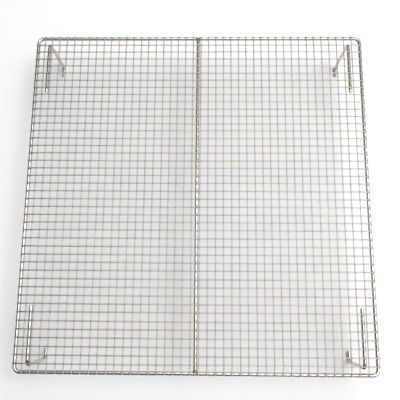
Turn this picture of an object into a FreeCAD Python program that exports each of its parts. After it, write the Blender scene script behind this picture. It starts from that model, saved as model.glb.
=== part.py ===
import FreeCAD, Part
import math
import os
from FreeCAD import Vector

os.makedirs("parts", exist_ok=True)

# Square cooling rack of welded round wire, in millimetres.
# +Z is up, +X is to the right and -Y is the front.
# The origin is on the ground, below the middle of the rim.

# Overall sizes
rack_width = 610.0      # over the outside of the side rails, along X
rack_depth = 610.0      # over the outside of the front and back rails, along Y
rack_height = 108.0     # from the ground to the top of the mesh

# Rim hoop
rim_wire = 6.4          # wire diameter
rim_bend = 9.5          # radius of the corners, to the middle of the wire

# Centre bar, butt welded between the front and back rails
bar_wire = 6.4          # bar diameter
bar_bite = 0.7          # how far each coped end laps past the inner face of its rail
bar_weld_height = 1.2   # thickness of the weld around the bar, at the rail
bar_weld_length = 3.6   # length of that weld along the bar

# Legs, each bent from one length of wire
leg_wire = 6.4          # wire diameter
leg_bend = 9.5          # radius of both bends, to the middle of the wire
leg_run = 100.0         # overall length of the level run under the mesh
leg_foot = 22.0         # overall length of the foot
leg_gap = 5.2           # clear gap between a leg and the rail that it stands beside

# Mesh: an upper layer of cross wires, welded on a lower layer of long wires
mesh_wire = 2.0         # wire diameter
mesh_pitch = 14.0       # spacing of the wires, the same both ways
mesh_shift_x = -1.5     # the mesh was welded on slightly off the rim's middle
mesh_shift_y = -1.0
wire_sets = 21          # neighbouring wires share a node, in this many sets per layer

# Steps at the ends of the cross wires, down to the side rails
step_gap = 0.8          # clear gap between the last long wire and the start of the step
step_run = 8.0          # length of the step
step_bend = 6.0         # radius of its two bends, to the middle of the wire


# Heights of the wires' middles, worked down from the top of the mesh
cross_z = rack_height - mesh_wire / 2
long_z = cross_z - mesh_wire
rim_z = long_z - mesh_wire / 2 - rim_wire / 2
bar_z = cross_z - mesh_wire / 2 - bar_wire / 2
leg_run_z = cross_z - mesh_wire / 2 - leg_wire / 2
foot_z = leg_wire / 2
rim_top = rim_z + rim_wire / 2
seat_z = rim_top + mesh_wire / 2

# Middles of the rails
rail_x = rack_width / 2 - rim_wire / 2
rail_y = rack_depth / 2 - rim_wire / 2


# The mesh keeps room for the cross wires' steps inside the rails, on every side
edge_room = mesh_wire / 2 + step_gap + step_run + max(abs(mesh_shift_x), abs(mesh_shift_y))


def wire_places(rail, shift):
    # As many pairs of wires as fit, so that a cell and never a wire is at the middle
    pairs = math.floor((rail - edge_room) / mesh_pitch + 0.5)
    first = shift - (pairs - 0.5) * mesh_pitch
    return [first + i * mesh_pitch for i in range(2 * pairs)]


long_wire_xs = wire_places(rail_x, mesh_shift_x)
cross_wire_ys = wire_places(rail_y, mesh_shift_y)

# The legs run under the outermost cells, a little off the cells' middles as the mesh is
leg_x = (len(long_wire_xs) / 2 - 1) * mesh_pitch
leg_y = rail_y - rim_wire / 2 - leg_gap - leg_wire / 2


def bent_line(points, bend, closed=False):
    # Straight lengths through the points, with a round bend in place of each corner
    count = len(points)
    corners = range(count) if closed else range(1, count - 1)
    bends = []
    for i in corners:
        corner = points[i]
        back = (points[i - 1] - corner).normalize()
        onward = (points[(i + 1) % count] - corner).normalize()
        half_angle = back.getAngle(onward) / 2
        trim = bend / math.tan(half_angle)
        apex_depth = bend / math.sin(half_angle) - bend
        apex = corner + (back + onward).normalize() * apex_depth
        bends.append((corner + back * trim, apex, corner + onward * trim))
    here = bends[-1][2] if closed else points[0]
    edges = []
    for start, apex, end in bends:
        edges.append(Part.makeLine(here, start))
        edges.append(Part.Arc(start, apex, end).toShape())
        here = end
    if not closed:
        edges.append(Part.makeLine(here, points[-1]))
    return Part.Wire(edges)


def round_wire(path, diameter):
    # A round section swept along the path
    first = path.OrderedEdges[0]
    start = first.valueAt(first.FirstParameter)
    along = first.tangentAt(first.FirstParameter)
    section = Part.Face(Part.Wire(Part.makeCircle(diameter / 2, start, along)))
    return path.makePipe(section)


def rim_hoop():
    # One wire, bent to a rounded square and butt welded flush.
    # Its four rails and four bends are solids that meet end to end.
    corners = [(-1, -1), (1, -1), (1, 1), (-1, 1)]
    points = [Vector(x * rail_x, y * rail_y, rim_z) for x, y in corners]
    path = bent_line(points, rim_bend, closed=True)
    return Part.makeCompound([round_wire(Part.Wire(edge), rim_wire) for edge in path.Edges])


def centre_bar(rim):
    # Stands a little higher than the rim, so that it touches the cross wires
    end_y = rail_y - rim_wire / 2 + bar_bite
    bar = Part.makeCylinder(bar_wire / 2, 2 * end_y, Vector(0, -end_y, bar_z), Vector(0, 1, 0))
    return bar.cut(rim)


def bar_weld(side, rim, bar):
    # A cone of weld from the rail to the bar, no higher than the rail's top
    widest = bar_wire / 2 + bar_weld_height
    length = rim_wire / 2 + bar_weld_length
    cone = Part.makeCone(widest, bar_wire / 2, length, Vector(0, side * rail_y, bar_z), Vector(0, -side, 0))
    room = Part.makeBox(2 * widest, 2 * length, rim_top, Vector(-widest, side * rail_y - length, 0))
    weld = cone.common(room).cut(rim).cut(bar)
    return max(weld.Solids, key=lambda solid: solid.Volume)


def leg(side_x, side_y):
    # A level run under the mesh, a bend down beside the rail and a foot turned inwards
    x = side_x * leg_x
    outer_y = leg_y + leg_wire / 2
    points = [
        Vector(x, side_y * (outer_y - leg_run), leg_run_z),
        Vector(x, side_y * leg_y, leg_run_z),
        Vector(x, side_y * leg_y, foot_z),
        Vector(x, side_y * (outer_y - leg_foot), foot_z),
    ]
    return round_wire(bent_line(points, leg_bend), leg_wire)


def long_wire(x):
    # Straight, from the front rail to the back rail
    return Part.makeCylinder(mesh_wire / 2, rack_depth, Vector(x, -rack_depth / 2, long_z), Vector(0, 1, 0))


def cross_wire(y):
    # Level over the long wires, then stepped down at both ends to lie on the side rails
    step_top = mesh_wire / 2 + step_gap
    left = long_wire_xs[0] - step_top
    right = long_wire_xs[-1] + step_top
    points = [
        Vector(-rack_width / 2, y, seat_z),
        Vector(left - step_run, y, seat_z),
        Vector(left, y, cross_z),
        Vector(right, y, cross_z),
        Vector(right + step_run, y, seat_z),
        Vector(rack_width / 2, y, seat_z),
    ]
    return round_wire(bent_line(points, step_bend), mesh_wire)


def wires_in_sets(places, make_wire):
    # The wires are dealt out in order, so neighbours share a set
    sets = [[] for _ in range(wire_sets)]
    for i, place in enumerate(places):
        sets[i * wire_sets // len(places)].append(make_wire(place))
    return [Part.makeCompound(wires) for wires in sets]


nodes = {}
nodes["rim_hoop"] = rim_hoop()
nodes["centre_bar"] = centre_bar(nodes["rim_hoop"])
for name, side in (("front", -1), ("back", 1)):
    nodes[f"bar_weld_{name}"] = bar_weld(side, nodes["rim_hoop"], nodes["centre_bar"])
    nodes[f"leg_{name}_left"] = leg(-1, side)
    nodes[f"leg_{name}_right"] = leg(1, side)
for i, wires in enumerate(wires_in_sets(long_wire_xs, long_wire), 1):
    nodes[f"long_wires_{i:02d}"] = wires
for i, wires in enumerate(wires_in_sets(cross_wire_ys, cross_wire), 1):
    nodes[f"cross_wires_{i:02d}"] = wires

for name, shape in nodes.items():
    shape.exportStep(f"parts/{name}.step")
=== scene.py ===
import math

import bpy
import numpy as np
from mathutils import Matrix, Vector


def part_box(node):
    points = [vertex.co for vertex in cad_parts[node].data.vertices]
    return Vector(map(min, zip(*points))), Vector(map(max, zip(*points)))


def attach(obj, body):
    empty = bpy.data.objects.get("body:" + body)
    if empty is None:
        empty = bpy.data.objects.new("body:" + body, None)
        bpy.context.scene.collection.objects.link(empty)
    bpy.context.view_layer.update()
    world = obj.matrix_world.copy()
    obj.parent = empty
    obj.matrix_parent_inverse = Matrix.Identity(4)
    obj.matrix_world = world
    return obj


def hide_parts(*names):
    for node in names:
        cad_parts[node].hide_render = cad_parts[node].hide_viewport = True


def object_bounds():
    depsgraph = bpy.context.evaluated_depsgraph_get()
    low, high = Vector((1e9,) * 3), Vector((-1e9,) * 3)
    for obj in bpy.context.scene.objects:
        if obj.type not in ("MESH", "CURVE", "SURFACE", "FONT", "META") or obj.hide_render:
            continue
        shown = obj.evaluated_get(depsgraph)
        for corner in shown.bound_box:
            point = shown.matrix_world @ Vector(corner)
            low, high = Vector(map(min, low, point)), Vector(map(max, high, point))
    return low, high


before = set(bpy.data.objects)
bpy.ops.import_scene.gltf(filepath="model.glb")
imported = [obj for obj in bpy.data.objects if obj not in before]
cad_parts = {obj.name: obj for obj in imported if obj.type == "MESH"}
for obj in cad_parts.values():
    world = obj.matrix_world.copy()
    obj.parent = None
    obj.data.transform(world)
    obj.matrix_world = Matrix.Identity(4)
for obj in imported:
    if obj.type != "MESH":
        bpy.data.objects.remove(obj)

cadLow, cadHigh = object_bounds()
print("frame loaded:", len(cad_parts), "CAD nodes")

# Metres throughout. +X is right, -Y is the front, +Z is up and the ground is z = 0.
rng = np.random.default_rng(24)
alongX = np.array([1.0, 0.0, 0.0])
alongY = np.array([0.0, 1.0, 0.0])
alongZ = np.array([0.0, 0.0, 1.0])


# Numpy surfaces shared by all the wires

# Where the painted shade on the flanks starts and where it is full, as the upward part of the normal, and its
# share on uprights
paintedShadeEdge = {"top": 0.84, "side": 0.28, "upright": 0.35}
surfaceRules = {
    "ringClearance": 0.0022,           # even rings this near to a closer one are left out
    "endClearance": 0.00001,           # the least distance from a ring to the end of its wire
    "sharpAngle": 50.0,                # degrees between faces from which an edge looks sharp
}
farAway = 1.0                          # a distance that stands for "no weld near"


def sectionAngles(sides):
    return np.arange(sides) * 2 * np.pi / sides


def runningLength(path):
    steps = np.linalg.norm(np.diff(path, axis=0), axis=1)
    return np.concatenate([[0.0], np.cumsum(steps)])


def tube(path, across, radius, tintAndShade, closed=False):
    # A wire along a path that stays square to "across". With the path's direction d at ring i:
    # point(i, j) = path(i) + radius(i, j) * (cos(angle j) * across + sin(angle j) * (d x across)).
    # The flank mask for the painted shade is 0 on the top of a level wire and grows to 1 down its sides. An
    # upright has the same small share all round.
    if closed:
        direction = np.roll(path, -1, axis=0) - np.roll(path, 1, axis=0)
    else:
        direction = np.gradient(path, axis=0)
    direction /= np.linalg.norm(direction, axis=1, keepdims=True)
    angle = sectionAngles(radius.shape[1])[None, :, None]
    ring = np.cos(angle) * across + np.sin(angle) * np.cross(direction, across)[:, None, :]
    side = (paintedShadeEdge["top"] - ring[:, :, 2]) / (paintedShadeEdge["top"] - paintedShadeEdge["side"])
    paintedFlankShade = np.clip(side, 0, 1) * (1 - (1 - paintedShadeEdge["upright"]) * direction[:, 2:] ** 2)
    along = runningLength(path)
    closing = np.linalg.norm(path[0] - path[-1]) if closed else 0.0
    return {"grid": path[:, None, :] + radius[:, :, None] * ring, "paintedFlankShade": paintedFlankShade, "tintAndShade": tintAndShade,
            "along": along, "reach": along[-1] + closing, "closed": closed}


def nearest(places, marks):
    # Distance from each place to the nearest mark
    if len(marks) == 0:
        return np.full(len(places), farAway)
    return np.abs(places[:, None] - np.asarray(marks)[None, :]).min(axis=1)


def spot(away, angles, facing, length, width):
    # exp(-(distance / length)^2) * exp(-(angle from "facing" / width)^2)
    turn = (angles - facing + np.pi) % (2 * np.pi) - np.pi
    return np.exp(-(away[:, None] / length) ** 2) * np.exp(-(turn[None, :] / width) ** 2)


def ringPlaces(start, end, marks, offsets, spacing):
    # Even places from start to end, with closer ones at the given offsets around every mark
    even = np.linspace(start, end, max(2, int(round(abs(end - start) / spacing)) + 1))
    close = (np.asarray(marks)[:, None] + np.asarray(offsets)[None, :]).ravel()
    clear = even[nearest(even, close) > surfaceRules["ringClearance"]]
    places = np.concatenate([clear, close])
    gap = surfaceRules["endClearance"]
    inside = places[(places > start + gap) & (places < end - gap)]
    return np.concatenate([[start], np.unique(inside.round(7)), [end]])


def cutEnds(places, start, end, roundness, face):
    # 1 along the wire; over the last stretch it falls as a quarter circle to the size of the cut face
    share = np.clip(np.minimum(places - start, end - places) / roundness, 0, 1)
    return face + (1 - face) * np.sqrt(1 - (1 - share) ** 2)


def addPiece(name, tubes, material, nodeName):
    # Faces run round and then along, so they point outwards; open ends close on a pole in their middle
    points, faces, uvs, tintsAndShades, paintedFlankShades = [], [], [], [], []
    base = 0
    for part in tubes:
        rings, sides = part["grid"].shape[:2]
        spans = rings if part["closed"] else rings - 1
        i, j = [index.ravel() for index in np.meshgrid(np.arange(spans), np.arange(sides), indexing="ij")]
        nextI, nextJ = (i + 1) % rings, (j + 1) % sides
        quads = np.stack([i * sides + j, i * sides + nextJ, nextI * sides + nextJ, nextI * sides + j], axis=1)
        faces.extend((quads + base).tolist())
        reach = np.append(part["along"], part["reach"])
        u = np.stack([j, j + 1, j + 1, j], axis=1) / sides
        v = np.stack([reach[i], reach[i], reach[i + 1], reach[i + 1]], axis=1)
        uvs.append(np.stack([u, v], axis=2).reshape(-1, 2))
        points.append(part["grid"].reshape(-1, 3))
        tintsAndShades.append(part["tintAndShade"].ravel())
        paintedFlankShades.append(part["paintedFlankShade"].ravel())
        if not part["closed"]:
            pole = base + rings * sides
            last = base + (rings - 1) * sides
            k = np.arange(sides)
            nextK = (k + 1) % sides
            startFan = np.stack([np.full(sides, pole), base + nextK, base + k], axis=1)
            endFan = np.stack([np.full(sides, pole + 1), last + k, last + nextK], axis=1)
            faces.extend(startFan.tolist() + endFan.tolist())
            for place in (0.0, part["reach"]):
                fanU = np.stack([k + 0.5, k + 1, k], axis=1) / sides
                uvs.append(np.stack([fanU, np.full((sides, 3), place)], axis=2).reshape(-1, 2))
            points.append(part["grid"][[0, -1]].mean(axis=1))
            tintsAndShades.append(part["tintAndShade"][[0, -1]].mean(axis=1))
            paintedFlankShades.append(np.zeros(2))
            base += 2
        base += rings * sides
    mesh = bpy.data.meshes.new(name)
    mesh.from_pydata(np.concatenate(points).tolist(), [], faces)
    mesh.uv_layers.new(name="wireUV").data.foreach_set("uv", np.concatenate(uvs).astype(np.float32).ravel())
    for label, values in (("weldTintAndShade", tintsAndShades), ("paintedFlankShade", paintedFlankShades)):
        layer = mesh.attributes.new(label, "FLOAT", "POINT")
        layer.data.foreach_set("value", np.concatenate(values).astype(np.float32))
    mesh.polygons.foreach_set("use_smooth", np.ones(len(mesh.polygons), bool))
    mesh.set_sharp_from_angle(angle=math.radians(surfaceRules["sharpAngle"]))
    mesh.materials.append(material)
    mesh.update()
    piece = bpy.data.objects.new(name, mesh)
    bpy.context.scene.collection.objects.link(piece)
    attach(piece, "root")
    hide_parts(nodeName)


# Finishes

# Which sockets of a Mix node take the factor, and its pairs of values or colours, and where they come out
mixSockets = {"factor": 0, "values": (2, 3), "colours": (6, 7), "valueOut": 0, "colourOut": 2}


def rgba(colour):
    return (*colour, 1)


def addNode(owner, kind, **settings):
    # The owner is a material or the world
    node = owner.node_tree.nodes.new(kind)
    for key, value in settings.items():
        setattr(node, key, value)
    return node


def feed(owner, value, socket):
    # Another node's output is linked, and a constant is set on the socket
    if isinstance(value, bpy.types.NodeSocket):
        owner.node_tree.links.new(value, socket)
    else:
        socket.default_value = value


def newMaterial(name):
    material = bpy.data.materials.new(name)
    material.use_nodes = True
    material.node_tree.nodes.clear()
    output = addNode(material, "ShaderNodeOutputMaterial")
    shader = addNode(material, "ShaderNodeBsdfPrincipled")
    feed(material, shader.outputs["BSDF"], output.inputs["Surface"])
    return material, shader


def rampNode(owner, stops):
    # A colour ramp from (place, colour) pairs
    node = addNode(owner, "ShaderNodeValToRGB")
    elements = node.color_ramp.elements
    while len(elements) > 1:
        elements.remove(elements[-1])
    elements[0].position, elements[0].color = stops[0][0], rgba(stops[0][1])
    for place, colour in stops[1:]:
        elements.new(place).color = rgba(colour)
    return node


def noiseNode(owner, vector, scale, detail, roughness):
    node = addNode(owner, "ShaderNodeTexNoise")
    node.inputs["Scale"].default_value = scale
    node.inputs["Detail"].default_value = detail
    node.inputs["Roughness"].default_value = roughness
    feed(owner, vector, node.inputs["Vector"])
    return node


def mixColours(owner, factor, first, second):
    node = addNode(owner, "ShaderNodeMix", data_type="RGBA")
    feed(owner, factor, node.inputs[mixSockets["factor"]])
    for socket, value in zip(mixSockets["colours"], (first, second)):
        feed(owner, value, node.inputs[socket])
    return node.outputs[mixSockets["colourOut"]]


def spread(owner, value, old, new):
    # Carries the range "old" over to the range "new", and holds at its ends
    node = addNode(owner, "ShaderNodeMapRange")
    feed(owner, value, node.inputs["Value"])
    for name, number in zip(("From Min", "From Max", "To Min", "To Max"), (*old, *new)):
        node.inputs[name].default_value = number
    return node.outputs["Result"]


def product(owner, first, second):
    node = addNode(owner, "ShaderNodeMath", operation="MULTIPLY")
    for socket, value in zip(node.inputs, (first, second)):
        feed(owner, value, socket)
    return node.outputs["Value"]


# Detail and roughness of each noise, and where in a noise's range each effect starts and is full
patterns = {
    "lineNoise": (2.0, 0.6), "cloudNoise": (4.0, 0.55), "speckNoise": (2.0, 0.5),
    "tone": (0.30, 0.62), "lines": (0.35, 0.65), "specks": (0.66, 0.74),
    "paintedShade": (0.25, 0.75), "gloss": (0.3, 0.7),
    "paintedShadeThin": 0.75, "paintedShadeThick": 1.2,        # the painted shade's share where it is thin and thick
}


def platedWire(name, look):
    # Bright plating over drawn wire: fine lines along the wire and slow cloudy changes of tone and gloss.
    # Painted shade in brown lies down the flanks, standing in for the dark surroundings they would mirror.
    # The welds are darker and duller: a weld tint together with painted contact shade where the wires touch.
    material, shader = newMaterial(name)
    uv = addNode(material, "ShaderNodeUVMap", uv_map="wireUV")
    stretch = addNode(material, "ShaderNodeMapping")
    stretch.inputs["Scale"].default_value = (look["linesRound"], look["linesAlong"], 1.0)
    feed(material, uv.outputs["UV"], stretch.inputs["Vector"])
    lines = noiseNode(material, stretch.outputs["Vector"], 1.0, *patterns["lineNoise"])
    place = addNode(material, "ShaderNodeTexCoord")
    cloud = noiseNode(material, place.outputs["Object"], look["cloudScale"], *patterns["cloudNoise"])
    speck = noiseNode(material, place.outputs["Object"], look["speckScale"], *patterns["speckNoise"])
    tintAndShade = addNode(material, "ShaderNodeAttribute", attribute_name="weldTintAndShade")
    paintedFlankShade = addNode(material, "ShaderNodeAttribute", attribute_name="paintedFlankShade")

    tone = rampNode(material, list(zip(patterns["tone"], (look["shade"], look["colour"]))))
    feed(material, cloud.outputs["Fac"], tone.inputs["Fac"])
    scored = spread(material, lines.outputs["Fac"], patterns["lines"], (0.0, look["lineDarkness"]))
    lined = mixColours(material, scored, tone.outputs["Color"], rgba(look["shade"]))
    spots = spread(material, speck.outputs["Fac"], patterns["specks"], (0.0, look["speckDarkness"]))
    spotted = mixColours(material, spots, lined, rgba(look["stain"]))
    # Painted shade: a patchy brown tone down the flanks and on uprights, standing in for dark reflections at
    # the wire's edges
    paintedShadeRange = (patterns["paintedShadeThin"] * look["paintedShade"], patterns["paintedShadeThick"] * look["paintedShade"])
    patchyPaintedShade = spread(material, cloud.outputs["Fac"], patterns["paintedShade"], paintedShadeRange)
    paintedShadeShare = product(material, paintedFlankShade.outputs["Fac"], patchyPaintedShade)
    withPaintedShade = mixColours(material, paintedShadeShare, spotted, rgba(look["paintedShadeColour"]))
    # Weld tint with painted contact shade: the welds go dark brown, as where the crossing wires shade each
    # other
    tintAndShadeShare = product(material, tintAndShade.outputs["Fac"], look["weldTintAndShadeStrength"])
    withTintAndShade = mixColours(material, tintAndShadeShare, withPaintedShade, rgba(look["weldTintAndShadeColour"]))
    feed(material, withTintAndShade, shader.inputs["Base Color"])

    # roughness = weld tint and shade mask * weldRough + cloudy gloss
    gloss = spread(material, cloud.outputs["Fac"], patterns["gloss"], (look["roughHigh"], look["roughLow"]))
    dull = addNode(material, "ShaderNodeMath", operation="MULTIPLY_ADD")
    for socket, value in zip(dull.inputs, (tintAndShade.outputs["Fac"], look["weldRough"], gloss)):
        feed(material, value, socket)
    feed(material, dull.outputs["Value"], shader.inputs["Roughness"])
    shader.inputs["Metallic"].default_value = 1.0

    bump = addNode(material, "ShaderNodeBump")
    bump.inputs["Strength"].default_value = look["bumpStrength"]
    bump.inputs["Distance"].default_value = look["bumpDepth"]
    feed(material, lines.outputs["Fac"], bump.inputs["Height"])
    feed(material, bump.outputs["Normal"], shader.inputs["Normal"])
    return material


meshLook = {
    "colour": (0.79, 0.76, 0.72), "shade": (0.65, 0.62, 0.58), "stain": (0.30, 0.265, 0.225),
    # weld tint with painted contact shade at the crossings: its colour and strength
    "weldTintAndShadeColour": (0.20, 0.153, 0.11), "weldTintAndShadeStrength": 0.9, "weldRough": 0.15,
    # painted shade down the flanks: its amount and brown colour
    "paintedShade": 0.68, "paintedShadeColour": (0.17, 0.14, 0.11),
    "roughLow": 0.32, "roughHigh": 0.42, "lineDarkness": 0.35, "speckDarkness": 0.4,
    "linesRound": 9.0, "linesAlong": 14.0, "cloudScale": 38.0, "speckScale": 900.0,
    "bumpStrength": 0.2, "bumpDepth": 0.00003,
}
rodLook = {
    # The rods have less painted shade down their flanks, in a slightly redder brown
    **meshLook, "paintedShade": 0.52, "paintedShadeColour": (0.17, 0.13, 0.11), "roughLow": 0.15, "roughHigh": 0.24,
    "linesRound": 26.0, "linesAlong": 9.0, "speckScale": 620.0,
}
weldLook = {
    **meshLook, "colour": (0.56, 0.535, 0.50), "shade": (0.42, 0.395, 0.36),
    "roughLow": 0.34, "roughHigh": 0.5,
    "linesRound": 5.0, "linesAlong": 700.0, "bumpStrength": 0.6, "bumpDepth": 0.0002,
}
meshFinish = platedWire("plated mesh wire", meshLook)
rodFinish = platedWire("plated rim and leg wire", rodLook)
weldFinish = platedWire("plated weld metal", weldLook)
print("finishes made")


# Places that the wires share, read from the frame

def nodeSpan(name):
    low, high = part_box(name)
    return np.array(low), np.array(high)


meshWire = {"radius": 0.0010, "sides": 12}
setCount = sum(1 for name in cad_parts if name.startswith("long_wires_"))
longSets = [f"long_wires_{i:02d}" for i in range(1, setCount + 1)]
crossSets = [f"cross_wires_{i:02d}" for i in range(1, setCount + 1)]


def placesInSets(names, axis):
    # Two neighbouring wires fill each set, one at either side of its box
    inset = meshWire["radius"]
    boxes = [nodeSpan(name) for name in names]
    return np.array([(low[axis] + inset, high[axis] - inset) for low, high in boxes]).ravel()


longXs = placesInSets(longSets, 0)
crossYs = placesInSets(crossSets, 1)
rimLow, rimHigh = nodeSpan("rim_hoop")
rimRadius = (rimHigh[2] - rimLow[2]) / 2
railX = rimHigh[0] - rimRadius
railY = rimHigh[1] - rimRadius
rimZ = rimLow[2] + rimRadius
barLow, barHigh = nodeSpan("centre_bar")
barX = (barLow[0] + barHigh[0]) / 2
legNames = [f"leg_{end}_{hand}" for end in ("front", "back") for hand in ("left", "right")]
legSpans = {name: nodeSpan(name) for name in legNames}
# The cross wires are the top layer, and the long wires touch them from below
crossZ = cadHigh[2] - meshWire["radius"]
longZ = crossZ - 2 * meshWire["radius"]


# The mesh

meshShape = {
    "sag": 0.00035,                    # how far the mesh dips midway between the bar and a side rail
    "offset": 0.00022,                 # typical misplacement of a wire
    "bow": 0.00030,                    # typical bow of a wire between the rails
    "nuggetHeight": 0.00018, "nuggetLength": 0.0010, "nuggetWidth": 0.75,
    # how far along and round a wire the weld tint with painted contact shade reaches
    "tintAndShadeLength": 0.0017, "tintAndShadeWidth": 2.4,
    "ringOffsets": (-0.0021, -0.0009, 0.0, 0.0009, 0.0021), "ringSpacing": 0.0070,
    "endRound": 0.00030, "endFace": 0.72, "roundShares": (0.15, 0.5, 1.0),
    "endInset": 0.0007, "insetShares": (0.1, 1),       # how far cut ends stop short of the rim's face
    "stepGap": 0.0018, "stepRun": 0.0080, "stepShares": (0.0, 0.2, 0.4, 0.6, 0.8, 1.0),
}
meshAngles = sectionAngles(meshWire["sides"])


def wireSways(count):
    # For each wire: its misplacement, its bow and a smaller double bow
    sizes = np.array([meshShape["offset"], meshShape["bow"], meshShape["bow"] / 2])
    return rng.normal(0, 1, (count, 3)) * sizes


def swayAt(sway, places, span):
    # misplacement + bow * sin(pi * share) + double bow * sin(2 pi * share), over the width between the rails
    share = (places + span) / (2 * span)
    return sway[..., 0] + sway[..., 1] * np.sin(np.pi * share) + sway[..., 2] * np.sin(2 * np.pi * share)


longSways = wireSways(len(longXs))
crossSways = wireSways(len(crossYs))


def sagDepth(x, y):
    # sag * sin^2 between the bar and the side rail * sin between the front and back rails
    acrossShare = np.clip(np.abs(x - barX) / railX, 0, 1)
    alongShare = np.clip((y + railY) / (2 * railY), 0, 1)
    return meshShape["sag"] * np.sin(np.pi * acrossShare) ** 2 * np.sin(np.pi * alongShare)


def stepDepth(x):
    # A cross wire lies level over the long wires, then drops by one wire's thickness to each side rail:
    # thickness * (3 s^2 - 2 s^3) over the step
    left = longXs[0] - meshShape["stepGap"]
    right = longXs[-1] + meshShape["stepGap"]
    share = np.clip(np.maximum(left - x, x - right) / meshShape["stepRun"], 0, 1)
    return 2 * meshWire["radius"] * share * share * (3 - 2 * share)


def wirePlaces(end, marks, extra=()):
    # Rings for one mesh wire, with its cut ends a little inside the rim's outer face
    start = -end + meshShape["endInset"] * rng.uniform(*meshShape["insetShares"])
    stop = end - meshShape["endInset"] * rng.uniform(*meshShape["insetShares"])
    places = ringPlaces(start, stop, marks, meshShape["ringOffsets"], meshShape["ringSpacing"])
    rounding = meshShape["endRound"] * np.array(meshShape["roundShares"])
    return np.unique(np.concatenate([places, start + rounding, stop - rounding, extra]))


def meshTube(path, across, places, welds):
    # radius * cut ends + a low nugget at each weld, on the side where the other wire lies
    ends = cutEnds(places, places[0], places[-1], meshShape["endRound"], meshShape["endFace"])
    radius = np.repeat(meshWire["radius"] * ends[:, None], len(meshAngles), axis=1)
    tintAndShade = np.zeros_like(radius)
    for marks, facing in welds:
        away = nearest(places, marks)
        nugget = spot(away, meshAngles, facing, meshShape["nuggetLength"], meshShape["nuggetWidth"])
        # weld tint with painted contact shade around each crossing
        tintAndShadeSpot = spot(away, meshAngles, facing, meshShape["tintAndShadeLength"], meshShape["tintAndShadeWidth"])
        radius += meshShape["nuggetHeight"] * nugget
        tintAndShade = np.maximum(tintAndShade, tintAndShadeSpot)
    return tube(path, across, radius, tintAndShade)


def longTube(number):
    # Front to back, level, under the cross wires and on the front and back rails
    x = longXs[number]
    marks = crossYs + swayAt(crossSways, x, railX)
    rails = np.array([-railY, railY])
    places = wirePlaces(rimHigh[1], np.concatenate([marks, rails]))
    line = x + swayAt(longSways[number], places, railY)
    path = np.stack([line, places, longZ - sagDepth(x, places)], axis=1)
    # the section's angle runs from +X through down
    return meshTube(path, alongX, places, [(marks, -np.pi / 2), (rails, np.pi / 2)])


def crossTube(number):
    # Left to right, over the long wires, the bar and the leg runs, and onto the side rails
    y = crossYs[number]
    rods = [barX] + [(low[0] + high[0]) / 2 for low, high in legSpans.values() if low[1] < y < high[1]]
    marks = np.concatenate([longXs + swayAt(longSways, y, railY), [-railX, railX], rods])
    down = np.array(meshShape["stepShares"]) * meshShape["stepRun"]
    gap = meshShape["stepGap"]
    steps = np.concatenate([longXs[0] - gap - down, longXs[-1] + gap + down])
    places = wirePlaces(rimHigh[0], marks, steps)
    line = y + swayAt(crossSways[number], places, railX)
    path = np.stack([places, line, crossZ - stepDepth(places) - sagDepth(places, y)], axis=1)
    # the section's angle runs from +Y through up
    return meshTube(path, alongY, places, [(marks, -np.pi / 2)])


for names, word, maker in ((longSets, "longWires", longTube), (crossSets, "crossWires", crossTube)):
    for order, name in enumerate(names):
        addPiece(word + name[-2:], [maker(2 * order), maker(2 * order + 1)], meshFinish, name)
print("mesh made:", len(longXs), "long wires and", len(crossYs), "cross wires")


# The rim hoop

rodShape = {
    "sides": 28, "ringOffsets": (-0.0016, -0.0007, 0.0, 0.0007, 0.0016), "ringSpacing": 0.0070,
    "nuggetHeight": 0.00016, "nuggetLength": 0.0010, "nuggetWidth": 0.24,
    # how far along and round a rod the weld tint with painted contact shade reaches
    "tintAndShadeLength": 0.0020, "tintAndShadeWidth": 0.75,
    "flatten": 0.00012,                # how much the outer side of the wire is drawn in at mid-bend
}
rodAngles = sectionAngles(rodShape["sides"])
rimBend = {"radius": 0.0095, "rings": 14}
# Each rail's axis, the side it lies on, the way it runs, and the signs of the corner after it
rimRails = ((0, -1, 1, (1, -1)), (1, 1, 1, (1, 1)), (0, 1, -1, (-1, 1)), (1, -1, -1, (-1, -1)))


def rodSection(radius, away, facing):
    # A rod's radius with a nugget, and its weld tint with painted contact shade, at the marks that lie at
    # distance "away"
    bump = spot(away, rodAngles, facing, rodShape["nuggetLength"], rodShape["nuggetWidth"])
    tintAndShade = spot(away, rodAngles, facing, rodShape["tintAndShadeLength"], rodShape["tintAndShadeWidth"])
    return radius + rodShape["nuggetHeight"] * bump, tintAndShade


def rimHoop():
    # The middle line runs anticlockwise: four rails, and a quarter circle after each
    bend = rimBend["radius"]
    quarter = np.linspace(0, np.pi / 2, rimBend["rings"] + 2)[1:-1]
    parts, aways, bows = [], [], []
    for turn, (axis, side, way, signs) in enumerate(rimRails):
        half, other = (railX, railY) if axis == 0 else (railY, railX)
        marks = longXs if axis == 0 else crossYs
        reach = half - bend
        places = ringPlaces(-reach, reach, marks, rodShape["ringOffsets"], rodShape["ringSpacing"])[::way]
        rail = np.full((len(places), 2), side * other)
        rail[:, axis] = places
        corner = np.array(signs) * (np.array([railX, railY]) - bend)
        angle = (turn - 1) * np.pi / 2 + quarter
        parts += [rail, corner + bend * np.stack([np.cos(angle), np.sin(angle)], axis=1)]
        aways += [nearest(places, marks), np.full(len(quarter), farAway)]
        bows += [np.zeros(len(places)), np.sin(2 * quarter)]
    flat = np.concatenate(parts)
    path = np.column_stack([flat, np.full(len(flat), rimZ)])
    # the section's angle runs from up through the outer side
    radius, tintAndShade = rodSection(rimRadius, np.concatenate(aways), 0.0)
    outer = np.clip(np.sin(rodAngles), 0, 1)
    radius = radius - rodShape["flatten"] * np.concatenate(bows)[:, None] * outer[None, :]
    return tube(path, alongZ, radius, tintAndShade, closed=True)


addPiece("rimHoop", [rimHoop()], rodFinish, "rim_hoop")
print("rim made")


# The centre bar and its end welds

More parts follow.
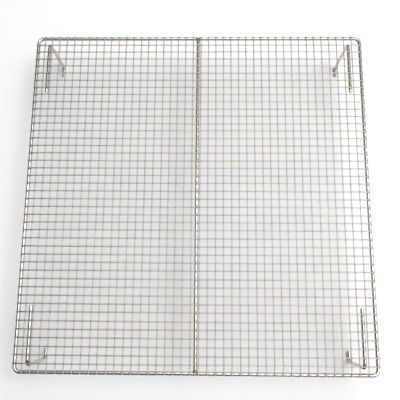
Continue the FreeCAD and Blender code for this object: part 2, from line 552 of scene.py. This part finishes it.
barWire = {"radius": (barHigh[2] - barLow[2]) / 2, "bite": 0.0012, "heatReach": 0.006}
weldShape = {
    "rings": 18, "skin": 0.0001, "topThinning": 0.85, "railBite": 0.25, "heatStart": 0.4,
    "lumpHeight": 0.00022, "lumpsRound": 9.0, "lumpsAlong": 5.0, "lumpTwist": 4, "lumpSlant": 2,
}
barZ = barLow[2] + barWire["radius"]


def centreBar():
    # A straight round bar, whose ends run into the rails
    end = railY - rimRadius + barWire["bite"]
    places = ringPlaces(-end, end, crossYs, rodShape["ringOffsets"], rodShape["ringSpacing"])
    path = np.stack([np.full(len(places), barX), places, np.full(len(places), barZ)], axis=1)
    # the section's angle runs from +X through down
    radius, tintAndShade = rodSection(barWire["radius"], nearest(places, crossYs), -np.pi / 2)
    ends = np.exp(-((end - np.abs(places)) / barWire["heatReach"]) ** 2)
    return tube(path, alongX, radius, np.maximum(tintAndShade, ends[:, None]))


def barWeld(name, side):
    # A fillet round the bar, thin over the top. Its radius grows towards the rail as a quarter circle does.
    # Small lumps: height * sin(lumps round * angle + twist * share)
    # * sin(lumps along * pi * share + slant * angle) * share
    low, high = nodeSpan(name)
    inner = low[1] if side > 0 else high[1]
    outer = side * (railY - weldShape["railBite"] * rimRadius)
    share = np.linspace(0, 1, weldShape["rings"])[:, None]
    upward = np.clip(-np.sin(rodAngles), 0, 1)[None, :]
    widest = (high[0] - low[0]) / 2 - barWire["radius"]
    growth = widest * (1 - np.sqrt(1 - share ** 2)) + weldShape["skin"]
    angles = rodAngles[None, :]
    lumps = np.sin(weldShape["lumpsRound"] * angles + weldShape["lumpTwist"] * share)
    lumps = lumps * np.sin(weldShape["lumpsAlong"] * np.pi * share + weldShape["lumpSlant"] * angles) * share
    radius = barWire["radius"] + growth * (1 - weldShape["topThinning"] * upward)
    radius = radius + weldShape["lumpHeight"] * lumps * (1 - upward)
    places = inner + (outer - inner) * share[:, 0]
    path = np.stack([np.full(len(places), barX), places, np.full(len(places), barZ)], axis=1)
    tintAndShade = weldShape["heatStart"] + (1 - weldShape["heatStart"]) * share
    part = tube(path, alongX * side, radius, np.repeat(tintAndShade, len(rodAngles), axis=1))
    part["grid"][:, :, 2] = np.minimum(part["grid"][:, :, 2], barHigh[2])
    return part


addPiece("centreBar", [centreBar()], rodFinish, "centre_bar")
addPiece("barWeldFront", [barWeld("bar_weld_front", -1)], weldFinish, "bar_weld_front")
addPiece("barWeldBack", [barWeld("bar_weld_back", 1)], weldFinish, "bar_weld_back")
print("centre bar made")


# The legs

legShape = {
    "foot": 0.0220, "bendRadius": 0.0095, "bendRings": 14, "ringSpacing": 0.0060,
    "endRound": 0.0007, "endFace": 0.80, "roundShares": (0.12, 0.4, 1.0),
}


def legRoute(corners, marks):
    # Straight lengths from corner to corner, with a quarter circle at each inner one.
    # Returns the points and how far into a bend each is: 0 on a straight and 1 at mid-bend.
    bend = legShape["bendRadius"]
    rounding = legShape["endRound"] * np.array(legShape["roundShares"])
    points, bows = [], []
    here = corners[0]
    for i in range(1, len(corners)):
        back = (corners[i - 1] - corners[i]) / np.linalg.norm(corners[i - 1] - corners[i])
        last = i == len(corners) - 1
        length = np.linalg.norm(corners[i] - here) - (0 if last else bend)
        welds = marks if i == 1 else []
        places = ringPlaces(0.0, length, welds, rodShape["ringOffsets"], legShape["ringSpacing"])
        if i == 1:
            places = np.unique(np.concatenate([places, rounding]))
        else:
            places = np.unique(np.concatenate([places[1:], length - rounding if last else []]))
        points.append(here - places[:, None] * back)
        bows.append(np.zeros(len(places)))
        if not last:
            onward = (corners[i + 1] - corners[i]) / np.linalg.norm(corners[i + 1] - corners[i])
            turn = np.linspace(0, np.pi / 2, legShape["bendRings"] + 2)[1:, None]
            middle = corners[i] + (back + onward) * bend
            points.append(middle - bend * (np.cos(turn) * onward + np.sin(turn) * back))
            bows.append(np.sin(2 * turn[:, 0]))
            here = corners[i] + onward * bend
    return np.concatenate(points), np.concatenate(bows)


def legTube(name):
    # A level run under the mesh, an upright and a foot, bent in the plane of Y and Z
    low, high = legSpans[name]
    radius = (high[0] - low[0]) / 2
    side = 1 if "back" in name else -1
    x, top, bottom = low[0] + radius, high[2] - radius, low[2] + radius
    inner, outer = (low[1], high[1]) if side > 0 else (high[1], low[1])
    upright = outer - side * radius
    corners = np.array([(x, inner, top), (x, upright, top), (x, upright, bottom),
                        (x, outer - side * legShape["foot"], bottom)])
    straight = abs(upright - inner) - legShape["bendRadius"]
    marks = np.array([abs(y - inner) for y in crossYs if low[1] < y < high[1]])
    marks = marks[marks < straight]
    path, bow = legRoute(corners, marks)
    along = runningLength(path)
    onRun = along <= straight
    # the section's angle runs from +X through down on a back leg's run, and through up on a front one's
    facing = -side * np.pi / 2
    body, tintAndShade = rodSection(radius, np.where(onRun, nearest(along, marks), farAway), facing)
    body = body * cutEnds(along, 0.0, along[-1], legShape["endRound"], legShape["endFace"])[:, None]
    outside = np.clip(np.sin(rodAngles) * np.sign(facing), 0, 1)
    body = body - rodShape["flatten"] * bow[:, None] * outside[None, :]
    return tube(path, alongX, body, tintAndShade)


for name in legNames:
    end, hand = name.split("_")[1:]
    addPiece("leg" + end.capitalize() + hand.capitalize(), [legTube(name)], rodFinish, name)
print("legs made")


# Floor, light and camera

studio = {
    "floorSize": 80.0, "floorColour": (0.935, 0.94, 0.948), "floorRough": 0.75,
    "cardFoot": ((-0.95, -0.38), (0.12, -0.62)), "cardBottom": 0.16, "cardTop": 0.90,
    "cardColour": (0.10, 0.075, 0.06), "cardRough": 0.9,
    "matPlace": (-0.9, 0.5, -0.95, -0.33), "matLift": 0.0005,
    "skyColour": (1.0, 0.99, 0.975), "skyStrength": 2.9, "backdrop": 0.67,
    # the sky's brightness over a direction's lean to the right, to the back and upwards
    "skyAcross": ((-0.50, 0.00), (-0.04, 0.32), (0.26, 2.55), (0.56, 1.75), (0.90, 0.40)),
    "skyDepth": ((-0.70, 0.30), (-0.16, 0.76), (0.12, 1.9), (0.36, 0.30), (0.62, 0.15)),
    "skyHeight": ((-0.10, 0.06), (0.40, 0.30), (0.90, 1.00)),
}
# "mirrored" lights show in the wires, and "matt" ones light the floor and cast shadows
lights = {
    "key": {"place": (1.05, 0.13, 2.5), "size": (0.55, 0.55), "power": 15.0, "mirrored": False, "matt": True},
    "panel": {"place": (0.45, 0.50, 1.40), "size": (1.0, 0.7), "power": 6.6, "mirrored": False, "matt": True},
    "strip": {"place": (0.0, 1.4, 1.1), "size": (1.0, 0.9), "power": 3.6, "mirrored": True, "matt": False},
    "top": {"place": (0.0, 0.2, 1.7), "size": (1.8, 0.5), "power": 3.4, "mirrored": True, "matt": False},
}
cameraSpec = {
    "place": (0.0230, -0.1933, 1.0009), "turn": (11.608, 0.998, 0.467), "lens": 46.8, "sensor": 36.0,
    "clipStart": 0.05,
}


def mattFinish(name, colour, rough):
    material, shader = newMaterial(name)
    shader.inputs["Base Color"].default_value = rgba(colour)
    shader.inputs["Roughness"].default_value = rough
    return material


def sheet(name, corners, material, onlyMirrored):
    # One flat face. A sheet that is only mirrored darkens what the wires reflect, and nothing else.
    mesh = bpy.data.meshes.new(name)
    mesh.from_pydata(corners, [], [(0, 1, 2, 3)])
    mesh.materials.append(material)
    face = bpy.data.objects.new(name, mesh)
    bpy.context.scene.collection.objects.link(face)
    face.visible_camera = not onlyMirrored
    face.visible_diffuse = not onlyMirrored
    face.visible_shadow = not onlyMirrored


def level(x0, x1, y0, y1, z):
    return [(x0, y0, z), (x1, y0, z), (x1, y1, z), (x0, y1, z)]


def softSky():
    # Brightness = strength * three curves, over the sideways, front to back and upward parts of a direction
    world = bpy.data.worlds.new("studio")
    world.use_nodes = True
    world.node_tree.nodes.clear()
    output = addNode(world, "ShaderNodeOutputWorld")
    background = addNode(world, "ShaderNodeBackground")
    direction = addNode(world, "ShaderNodeTexCoord")
    parts = addNode(world, "ShaderNodeSeparateXYZ")
    feed(world, direction.outputs["Generated"], parts.inputs["Vector"])
    strength = studio["skyStrength"]
    for axis, curve in (("X", studio["skyAcross"]), ("Y", studio["skyDepth"]), ("Z", studio["skyHeight"])):
        share = spread(world, parts.outputs[axis], (-1.0, 1.0), (0.0, 1.0))
        ramp = rampNode(world, [((lean + 1) / 2, (bright, bright, bright)) for lean, bright in curve])
        ramp.color_ramp.interpolation = "B_SPLINE"
        feed(world, share, ramp.inputs["Fac"])
        strength = product(world, strength, ramp.outputs["Color"])
    # What the camera sees past the floor is a plain pale backdrop
    path = addNode(world, "ShaderNodeLightPath")
    shown = addNode(world, "ShaderNodeMix")
    feed(world, path.outputs["Is Camera Ray"], shown.inputs[mixSockets["factor"]])
    for socket, value in zip(mixSockets["values"], (strength, studio["backdrop"])):
        feed(world, value, shown.inputs[socket])
    background.inputs["Color"].default_value = rgba(studio["skyColour"])
    feed(world, shown.outputs[mixSockets["valueOut"]], background.inputs["Strength"])
    feed(world, background.outputs["Background"], output.inputs["Surface"])
    bpy.context.scene.world = world


def softLight(name, spec):
    # A soft rectangle that faces the middle of the floor under the rack
    lamp = bpy.data.lights.new(name, "AREA")
    lamp.shape = "RECTANGLE"
    lamp.size, lamp.size_y = spec["size"]
    lamp.energy = spec["power"]
    lightObject = bpy.data.objects.new(name, lamp)
    lightObject.location = spec["place"]
    lightObject.rotation_euler = (-Vector(spec["place"])).to_track_quat("-Z", "Y").to_euler()
    bpy.context.scene.collection.objects.link(lightObject)
    lightObject.visible_glossy = spec["mirrored"]
    lightObject.visible_diffuse = spec["matt"]


half = studio["floorSize"] / 2
floorFinish = mattFinish("pale floor", studio["floorColour"], studio["floorRough"])
sheet("floor", level(-half, half, -half, half, 0.0), floorFinish, onlyMirrored=False)
cardFinish = mattFinish("dark card", studio["cardColour"], studio["cardRough"])
(cardX0, cardY0), (cardX1, cardY1) = studio["cardFoot"]
cardLow, cardHigh = studio["cardBottom"], studio["cardTop"]
cardCorners = [(cardX0, cardY0, cardLow), (cardX1, cardY1, cardLow),
               (cardX1, cardY1, cardHigh), (cardX0, cardY0, cardHigh)]
sheet("card", cardCorners, cardFinish, onlyMirrored=True)
sheet("mat", level(*studio["matPlace"], studio["matLift"]), cardFinish, onlyMirrored=True)
softSky()
for name, spec in lights.items():
    softLight(name, spec)

camera = bpy.data.cameras.new("camera")
camera.lens = cameraSpec["lens"]
camera.sensor_width = cameraSpec["sensor"]
camera.clip_start = cameraSpec["clipStart"]
cameraObject = bpy.data.objects.new("camera", camera)
cameraObject.location = cameraSpec["place"]
cameraObject.rotation_euler = [math.radians(angle) for angle in cameraSpec["turn"]]
bpy.context.scene.collection.objects.link(cameraObject)
bpy.context.scene.camera = cameraObject
bpy.context.scene.view_settings.view_transform = "Standard"
print("studio made")

print("cad box", [round(v, 4) for v in (*cadLow, *cadHigh)])
